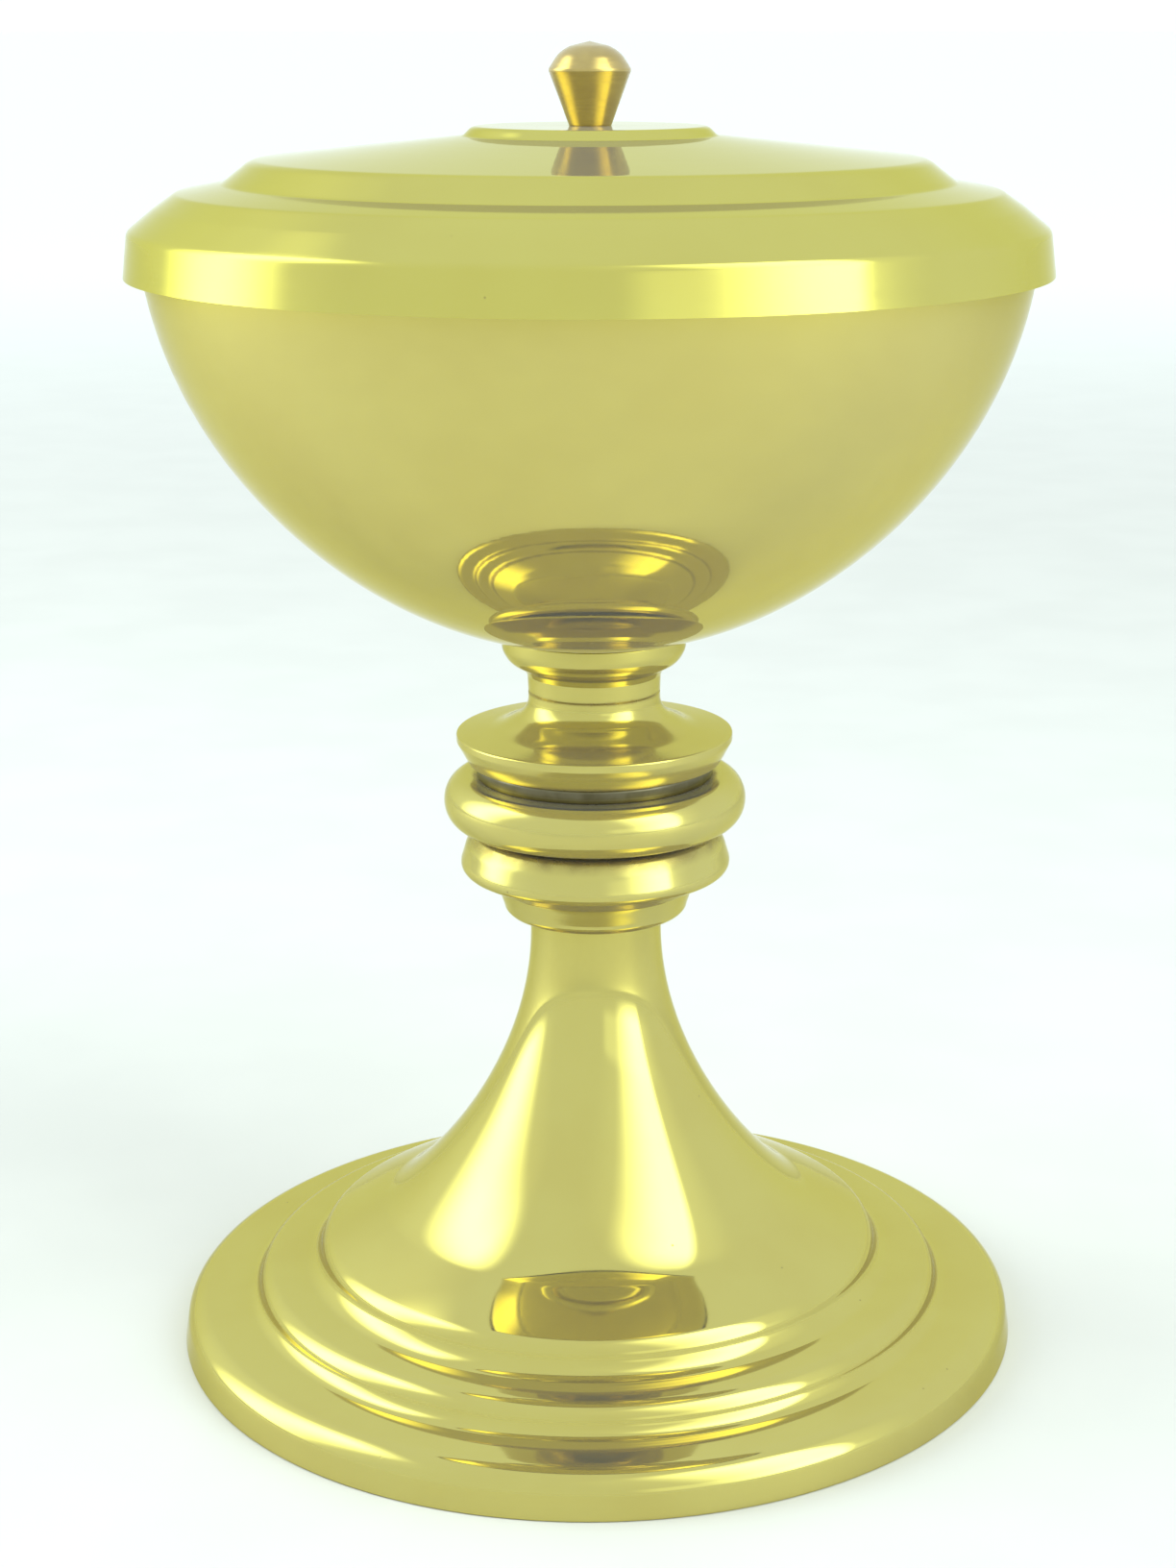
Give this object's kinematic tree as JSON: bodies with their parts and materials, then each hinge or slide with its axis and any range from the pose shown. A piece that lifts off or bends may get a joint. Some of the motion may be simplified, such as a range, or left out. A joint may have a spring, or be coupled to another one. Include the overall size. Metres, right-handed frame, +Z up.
{
  "type": "ciborium",
  "caption": "Footed brass cup for communion wafers, with a knotted stem, a stepped trumpet foot and a stepped lift-off lid with a small knob.",
  "frame": {"origin": "centre of the foot's rim, on the surface that the foot stands on", "axes": "+Z up along the axis of the stem; X and Y level, in any direction, because the object is round"},
  "size_m": [0.1302, 0.1302, 0.1922],
  "materials": {
    "polished_brass": "mirror polished, lacquered",
    "spun_brass": "fine spun satin, lacquered",
    "knob_brass": "turned satin",
    "raw_brass": "as machined",
    "blackened_brass": "darkened, dull",
    "zinc_steel": "zinc plated"
  },
  "bodies": {
    "cup": {"foot": "polished_brass", "lower_bead_ring": "polished_brass", "lower_spacer": "blackened_brass", "round_knot_ring": "polished_brass", "upper_spacer": "blackened_brass", "dish_flange": "polished_brass", "bowl_collar": "polished_brass", "bowl": "spun_brass", "bowl_boss": "raw_brass", "tie_rod": "zinc_steel", "clamp_washer": "raw_brass", "clamp_nut": "zinc_steel"},
    "lid": {"lid_cover": "spun_brass", "lid_knob": "knob_brass", "knob_washer": "raw_brass", "knob_screw": "zinc_steel"}
  },
  "joints": [
    {"name": "lid_lift", "type": "slide", "parent": "cup", "child": "lid", "axis": [0, 0, 1], "range_m": [0, 0.08]}
  ]
}
